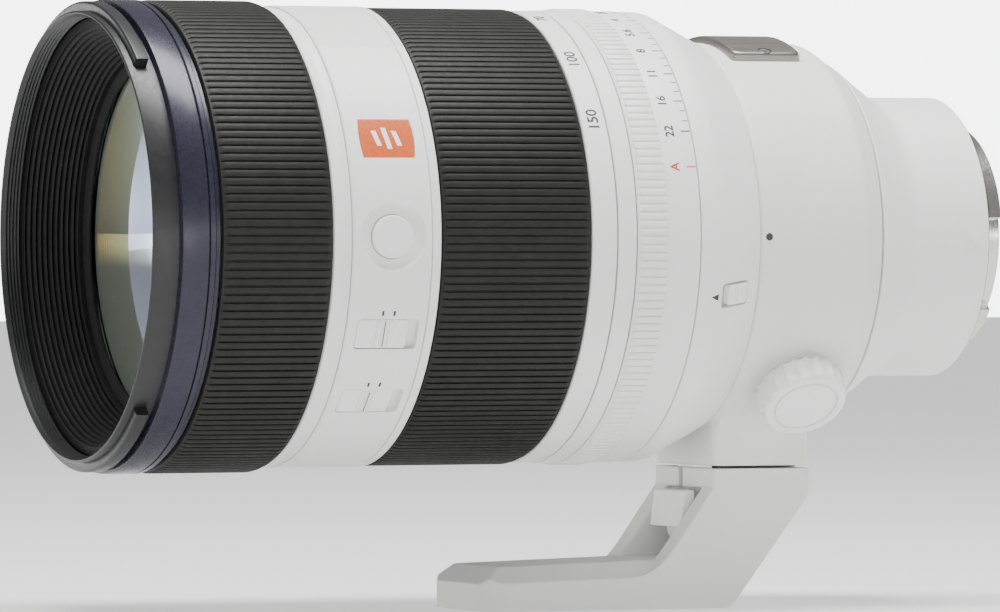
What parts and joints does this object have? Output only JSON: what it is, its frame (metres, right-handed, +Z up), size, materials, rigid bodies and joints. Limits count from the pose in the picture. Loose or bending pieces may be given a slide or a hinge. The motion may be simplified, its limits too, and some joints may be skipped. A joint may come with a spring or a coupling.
{
  "type": "telephoto zoom lens",
  "caption": "White telephoto zoom lens with rubber focus and zoom rings, an aperture ring and a rotating tripod collar with a foot.",
  "frame": {"origin": "mouth of the large tripod socket in the underside of the foot", "axes": "+X along the optical axis from the front glass to the lens mount, +Z up from the foot, -Y the side with the switches"},
  "size_m": [0.209, 0.1018, 0.1323],
  "materials": {
    "white_paint": "satin heat-reflecting paint on moulded and cast barrel parts",
    "cast_paint": "satin heat-reflecting paint on cast alloy",
    "collar_paint": "fine textured light grey paint on cast alloy",
    "white_plastic": "satin moulded plastic",
    "black_plastic": "matt anti-reflection black",
    "black_metal": "black anodised",
    "accent_plastic": "semi-gloss blue-black",
    "grip_rubber": "moulded rubber with fine lengthwise ribs",
    "badge_orange": "enamelled plate",
    "top_plate_metal": "brushed warm grey metal",
    "bare_steel": "turned steel",
    "mount_steel": "chrome plated and turned",
    "motor_steel": "plated steel yokes and magnets",
    "blade_steel": "thin blackened steel",
    "contact_brass": "gold plated pins",
    "cam_metal": "turned alloy",
    "aluminium": "turned alloy",
    "liner": "low-friction plastic",
    "board": "green circuit board",
    "lens_glass": "coated optical glass"
  },
  "bodies": {
    "foot": {"foot": "collar_paint", "socket_inserts": "bare_steel", "lever_pin": "bare_steel"},
    "release_lever": {"release_lever": "white_plastic"},
    "collar": {"collar_ring": "collar_paint", "collar_dovetail": "bare_steel", "dovetail_screws": "bare_steel", "collar_top_plate": "top_plate_metal", "top_plate_screws": "bare_steel", "collar_liner": "liner", "clamp_shoe": "black_metal"},
    "knob": {"collar_knob": "white_plastic", "clamp_stud": "bare_steel"},
    "barrel": {"front_ring": "black_plastic", "front_baffle": "black_plastic", "front_cell": "black_plastic", "front_element": "lens_glass", "accent_ring": "accent_plastic", "main_barrel": "white_paint", "switch_band": "white_paint", "badge": "badge_orange", "fixed_ring": "white_paint", "rear_housing": "cast_paint", "rear_cone": "cast_paint", "guide_tube": "aluminium", "iris_housing": "black_metal", "relay_element": "lens_glass", "circuit_board": "board", "focus_motors": "motor_steel", "mount_flange": "mount_steel", "mount_screws": "bare_steel", "mount_gasket": "grip_rubber", "contact_block": "black_plastic", "contact_pins": "contact_brass", "rear_element": "lens_glass", "mount_index_dot": "white_plastic"},
    "focus_ring": {"focus_ring": "aluminium", "focus_grip": "grip_rubber"},
    "zoom_ring": {"zoom_ring": "white_paint", "zoom_grip": "grip_rubber", "cam_sleeve": "cam_metal"},
    "zoom_cell": {"zoom_cell": "black_metal", "zoom_element": "lens_glass"},
    "aperture_ring": {"aperture_ring": "white_paint"},
    "focus_cell": {"focus_cell": "black_plastic", "focus_element": "lens_glass"},
    "iris_drive_ring": {"iris_drive_ring": "aluminium"},
    "focus_mode_switch": {"focus_mode_switch": "white_plastic"},
    "manual_focus_switch": {"manual_focus_switch": "white_plastic"},
    "iris_lock_switch": {"iris_lock_switch": "white_plastic"},
    "focus_hold_button": {"focus_hold_button": "white_plastic"},
    "iris_blade_1": {"iris_blade_1": "blade_steel"},
    "iris_blade_2": {"iris_blade_2": "blade_steel"},
    "iris_blade_3": {"iris_blade_3": "blade_steel"},
    "iris_blade_4": {"iris_blade_4": "blade_steel"},
    "iris_blade_5": {"iris_blade_5": "blade_steel"},
    "iris_blade_6": {"iris_blade_6": "blade_steel"},
    "iris_blade_7": {"iris_blade_7": "blade_steel"},
    "iris_blade_8": {"iris_blade_8": "blade_steel"},
    "iris_blade_9": {"iris_blade_9": "blade_steel"}
  },
  "joints": [
    {"name": "foot_slide", "type": "slide", "parent": "foot", "child": "collar", "axis": [1, 0, 0], "range_m": [0, 0.022]},
    {"name": "release_lever_turn", "type": "hinge", "parent": "foot", "child": "release_lever", "pos_m": [0.031, 0, 0.0194], "axis": [0, 1, 0], "range_deg": [-20, 0], "stiffness_Nm_per_rad": 0.02, "springref_deg": 20.05},
    {"name": "knob_turn", "type": "hinge", "parent": "collar", "child": "knob", "pos_m": [0.0387, 0, 0.0814], "axis": [0, -0.682, -0.7314], "range_deg": [0, 360]},
    {"name": "collar_turn", "type": "hinge", "parent": "collar", "child": "barrel", "pos_m": [0, 0, 0.0814], "axis": [1, 0, 0], "continuous": true},
    {"name": "focus_ring_turn", "type": "hinge", "parent": "barrel", "child": "focus_ring", "pos_m": [0, 0, 0.0814], "axis": [1, 0, 0], "continuous": true},
    {"name": "zoom_ring_turn", "type": "hinge", "parent": "barrel", "child": "zoom_ring", "pos_m": [0, 0, 0.0814], "axis": [1, 0, 0], "range_deg": [-65, 0]},
    {"name": "zoom_cell_slide", "type": "slide", "parent": "barrel", "child": "zoom_cell", "axis": [1, 0, 0], "range_m": [0, 0.0221]},
    {"name": "aperture_ring_turn", "type": "hinge", "parent": "barrel", "child": "aperture_ring", "pos_m": [0, 0, 0.0814], "axis": [1, 0, 0], "range_deg": [-73, 0]},
    {"name": "iris_drive_turn", "type": "hinge", "parent": "barrel", "child": "iris_drive_ring", "pos_m": [0, 0, 0.0814], "axis": [1, 0, 0], "range_deg": [-30, 0]},
    {"name": "focus_cell_slide", "type": "slide", "parent": "barrel", "child": "focus_cell", "axis": [1, 0, 0], "range_m": [0, 0.004]},
    {"name": "focus_mode_slide", "type": "slide", "parent": "barrel", "child": "focus_mode_switch", "axis": [1, 0, 0], "range_m": [0, 0.0023]},
    {"name": "manual_focus_slide", "type": "slide", "parent": "barrel", "child": "manual_focus_switch", "axis": [1, 0, 0], "range_m": [0, 0.0023]},
    {"name": "iris_lock_slide", "type": "slide", "parent": "barrel", "child": "iris_lock_switch", "axis": [-0.8829, -0.4528, -0.1239], "range_m": [0, 0.0017]},
    {"name": "focus_hold_press", "type": "slide", "parent": "barrel", "child": "focus_hold_button", "axis": [0, 1, 0], "range_m": [0, 0.0008], "stiffness_N_per_m": 400, "springref_m": -0.001},
    {"name": "iris_blade_1_turn", "type": "hinge", "parent": "barrel", "child": "iris_blade_1", "pos_m": [0.0125, 0, 0.0504], "axis": [1, 0, 0], "range_deg": [0, 44]},
    {"name": "iris_blade_2_turn", "type": "hinge", "parent": "barrel", "child": "iris_blade_2", "pos_m": [0.01275, 0.01993, 0.05765], "axis": [1, 0, 0], "range_deg": [0, 44]},
    {"name": "iris_blade_3_turn", "type": "hinge", "parent": "barrel", "child": "iris_blade_3", "pos_m": [0.013, 0.03053, 0.07602], "axis": [1, 0, 0], "range_deg": [0, 44]},
    {"name": "iris_blade_4_turn", "type": "hinge", "parent": "barrel", "child": "iris_blade_4", "pos_m": [0.01325, 0.02685, 0.0969], "axis": [1, 0, 0], "range_deg": [0, 44]},
    {"name": "iris_blade_5_turn", "type": "hinge", "parent": "barrel", "child": "iris_blade_5", "pos_m": [0.0135, 0.0106, 0.11053], "axis": [1, 0, 0], "range_deg": [0, 44]},
    {"name": "iris_blade_6_turn", "type": "hinge", "parent": "barrel", "child": "iris_blade_6", "pos_m": [0.01375, -0.0106, 0.11053], "axis": [1, 0, 0], "range_deg": [0, 44]},
    {"name": "iris_blade_7_turn", "type": "hinge", "parent": "barrel", "child": "iris_blade_7", "pos_m": [0.014, -0.02685, 0.0969], "axis": [1, 0, 0], "range_deg": [0, 44]},
    {"name": "iris_blade_8_turn", "type": "hinge", "parent": "barrel", "child": "iris_blade_8", "pos_m": [0.01425, -0.03053, 0.07602], "axis": [1, 0, 0], "range_deg": [0, 44]},
    {"name": "iris_blade_9_turn", "type": "hinge", "parent": "barrel", "child": "iris_blade_9", "pos_m": [0.0145, -0.01993, 0.05765], "axis": [1, 0, 0], "range_deg": [0, 44]}
  ],
  "couplings": [
    {"joint": "zoom_cell_slide", "follows": "zoom_ring_turn", "m_per_rad": -0.019392},
    {"joint": "iris_drive_turn", "follows": "aperture_ring_turn", "ratio": 0.4},
    {"joint": "iris_blade_1_turn", "follows": "aperture_ring_turn", "ratio": -0.6},
    {"joint": "iris_blade_2_turn", "follows": "aperture_ring_turn", "ratio": -0.6},
    {"joint": "iris_blade_3_turn", "follows": "aperture_ring_turn", "ratio": -0.6},
    {"joint": "iris_blade_4_turn", "follows": "aperture_ring_turn", "ratio": -0.6},
    {"joint": "iris_blade_5_turn", "follows": "aperture_ring_turn", "ratio": -0.6},
    {"joint": "iris_blade_6_turn", "follows": "aperture_ring_turn", "ratio": -0.6},
    {"joint": "iris_blade_7_turn", "follows": "aperture_ring_turn", "ratio": -0.6},
    {"joint": "iris_blade_8_turn", "follows": "aperture_ring_turn", "ratio": -0.6},
    {"joint": "iris_blade_9_turn", "follows": "aperture_ring_turn", "ratio": -0.6}
  ]
}
